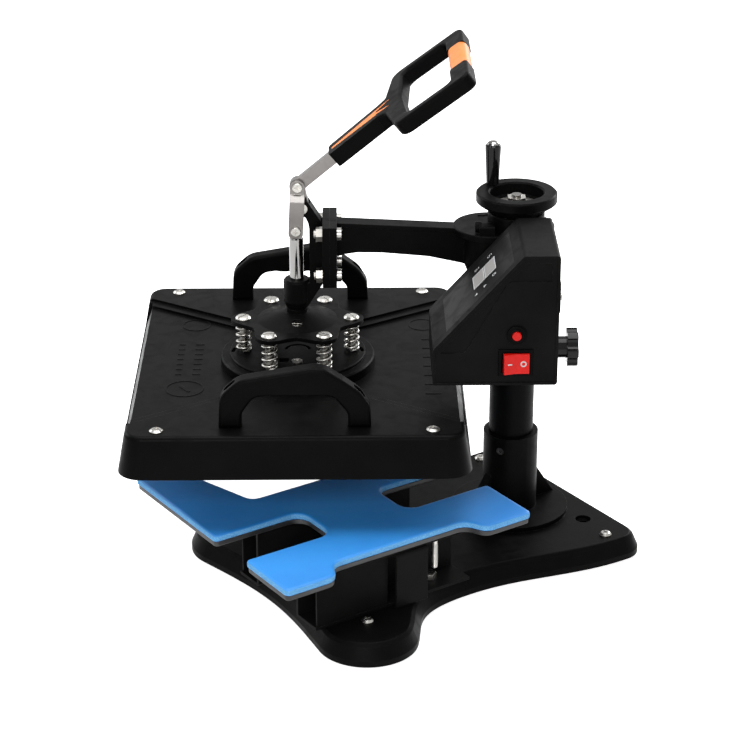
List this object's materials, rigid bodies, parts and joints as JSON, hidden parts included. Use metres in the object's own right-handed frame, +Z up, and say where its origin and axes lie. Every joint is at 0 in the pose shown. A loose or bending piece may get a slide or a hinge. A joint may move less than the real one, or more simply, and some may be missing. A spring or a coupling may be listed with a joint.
{
  "type": "shoe heat press",
  "caption": "Bench heat press for shoes: swing-away heated platen on an arm round a post, toggle lever, height wheel, and a slotted foam pad below.",
  "frame": {"origin": "centre of the four bench bolt holes, in the plane of the base casting's underside", "axes": "+Z up, +X to the operator's right, +Y away from the operator; the head is stored swung to the left, as in the picture"},
  "size_m": [0.5314, 0.4991, 0.5112],
  "materials": {
    "cast_black": "satin black paint on a casting",
    "sheet_black": "fine textured black powder coat on sheet steel",
    "platen_black": "satin black heat proof coating on cast aluminium",
    "zinc": "zinc plated steel",
    "bright_steel": "brushed bright steel",
    "dark_steel": "dull rolled steel",
    "chrome": "chromed rod",
    "aluminium": "machined aluminium",
    "bronze": "bronze bearing washer",
    "foam_blue": "closed cell silicone foam",
    "rubber_black": "moulded rubber",
    "plastic_black": "moulded black plastic with a fine grain",
    "plastic_orange": "moulded orange plastic",
    "plastic_red": "glossy red plastic",
    "knob_black": "polished black thermoset",
    "film_black": "satin printed film",
    "window_grey": "light grey display window",
    "board_green": "circuit board",
    "wool_white": "pressed mineral wool"
  },
  "bodies": {
    "base": {"base_casting": "cast_black", "rubber_feet": "rubber_black", "foot_screws": "zinc", "column_post": "cast_black", "post_nut": "bright_steel", "post_set_screws": "dark_steel", "cradle_rails": "sheet_black", "rail_side_plates": "sheet_black", "support_straps": "sheet_black", "rail_bolts": "zinc", "platen_studs": "zinc", "lower_plate": "dark_steel", "pressing_pad": "foam_blue"},
    "lift": {"thrust_ring": "bronze"},
    "wheel": {"pressure_screw": "bright_steel", "handwheel": "cast_black", "wheel_fasteners": "zinc", "crank_pin": "chrome"},
    "grip": {"crank_grip": "knob_black"},
    "arm": {"head_casting": "cast_black", "lever_pivot_pin": "zinc", "flange_fasteners": "zinc", "arm_casting": "cast_black", "bearing_cap": "cast_black", "cap_screws": "dark_steel", "swing_stop": "cast_black", "box_shell": "sheet_black", "box_side_covers": "sheet_black", "box_screws": "zinc", "overlay_panel": "film_black", "display_windows": "window_grey", "circuit_board": "board_green", "power_relay": "plastic_black", "mains_inlet": "plastic_black", "rocker_bezel": "plastic_black", "reset_breaker": "plastic_black"},
    "knob": {"lock_knob": "knob_black"},
    "plunger": {"plunger_rod": "chrome", "spider_plate": "cast_black", "spider_plug": "zinc"},
    "lever": {"lever_bar": "bright_steel", "lever_handle": "plastic_black", "handle_inlays": "plastic_orange"},
    "link": {"link_straps": "bright_steel", "link_screws": "zinc"},
    "platen": {"heat_plate": "platen_black", "heating_element": "bright_steel", "insulation_board": "wool_white", "thermostat": "plastic_black", "platen_cover": "platen_black", "cover_screws": "zinc", "platen_standoffs": "zinc", "mount_disc": "cast_black", "shoulder_screws": "zinc", "platen_springs": "bright_steel", "side_handles": "plastic_black", "handle_screws": "zinc"},
    "rocker": {"rocker_switch": "plastic_red"},
    "reset": {"reset_button": "plastic_red"}
  },
  "joints": [
    {"name": "head_height", "type": "slide", "parent": "base", "child": "lift", "axis": [0, 0, 1], "range_m": [-0.009, 0.008]},
    {"name": "pressure_wheel", "type": "hinge", "parent": "lift", "child": "wheel", "pos_m": [0, 0.112, 0.356], "axis": [0, 0, 1], "range_deg": [-810, 720]},
    {"name": "crank_grip_spin", "type": "hinge", "parent": "wheel", "child": "grip", "pos_m": [-0.03076, 0.10538, 0.386], "axis": [0, 0, 1], "continuous": true},
    {"name": "head_swing", "type": "hinge", "parent": "lift", "child": "arm", "pos_m": [0, 0.112, 0.25], "axis": [0, 0, 1], "range_deg": [-146.5, 33.5]},
    {"name": "lock_knob_turn", "type": "hinge", "parent": "arm", "child": "knob", "pos_m": [0.01766, 0.13868, 0.2002], "axis": [0.5519, 0.8339, 0], "range_deg": [-90, 90]},
    {"name": "plunger_travel", "type": "slide", "parent": "arm", "child": "plunger", "axis": [0, 0, -1], "range_m": [0, 0.04219]},
    {"name": "press_lever", "type": "hinge", "parent": "arm", "child": "lever", "pos_m": [-0.11591, -0.06312, 0.3518], "axis": [0.8339, -0.5519, 0], "range_deg": [0, 163.86]},
    {"name": "toggle_link", "type": "hinge", "parent": "lever", "child": "link", "pos_m": [-0.11812, -0.06646, 0.37282], "axis": [0.8339, -0.5519, 0], "range_deg": [-166.55, 0]},
    {"name": "platen_float", "type": "slide", "parent": "plunger", "child": "platen", "axis": [0, 0, 1], "range_m": [0, 0.006], "stiffness_N_per_m": 6000, "springref_m": -0.02, "deforming": ["platen_springs"]},
    {"name": "power_rocker", "type": "hinge", "parent": "arm", "child": "rocker", "pos_m": [0.11208, 0.02858, 0.2449], "axis": [0, 0, -1], "range_deg": [0, 16]},
    {"name": "reset_push", "type": "slide", "parent": "arm", "child": "reset", "axis": [-0.8339, 0.5519, 0], "range_m": [0, 0.0025], "stiffness_N_per_m": 400, "springref_m": -0.002}
  ],
  "couplings": [
    {"joint": "pressure_wheel", "follows": "head_height", "rad_per_m": 1570.8},
    {"joint": "press_lever", "follows": "plunger_travel", "rad_per_m": 67.789},
    {"joint": "toggle_link", "follows": "plunger_travel", "rad_per_m": -68.903}
  ]
}
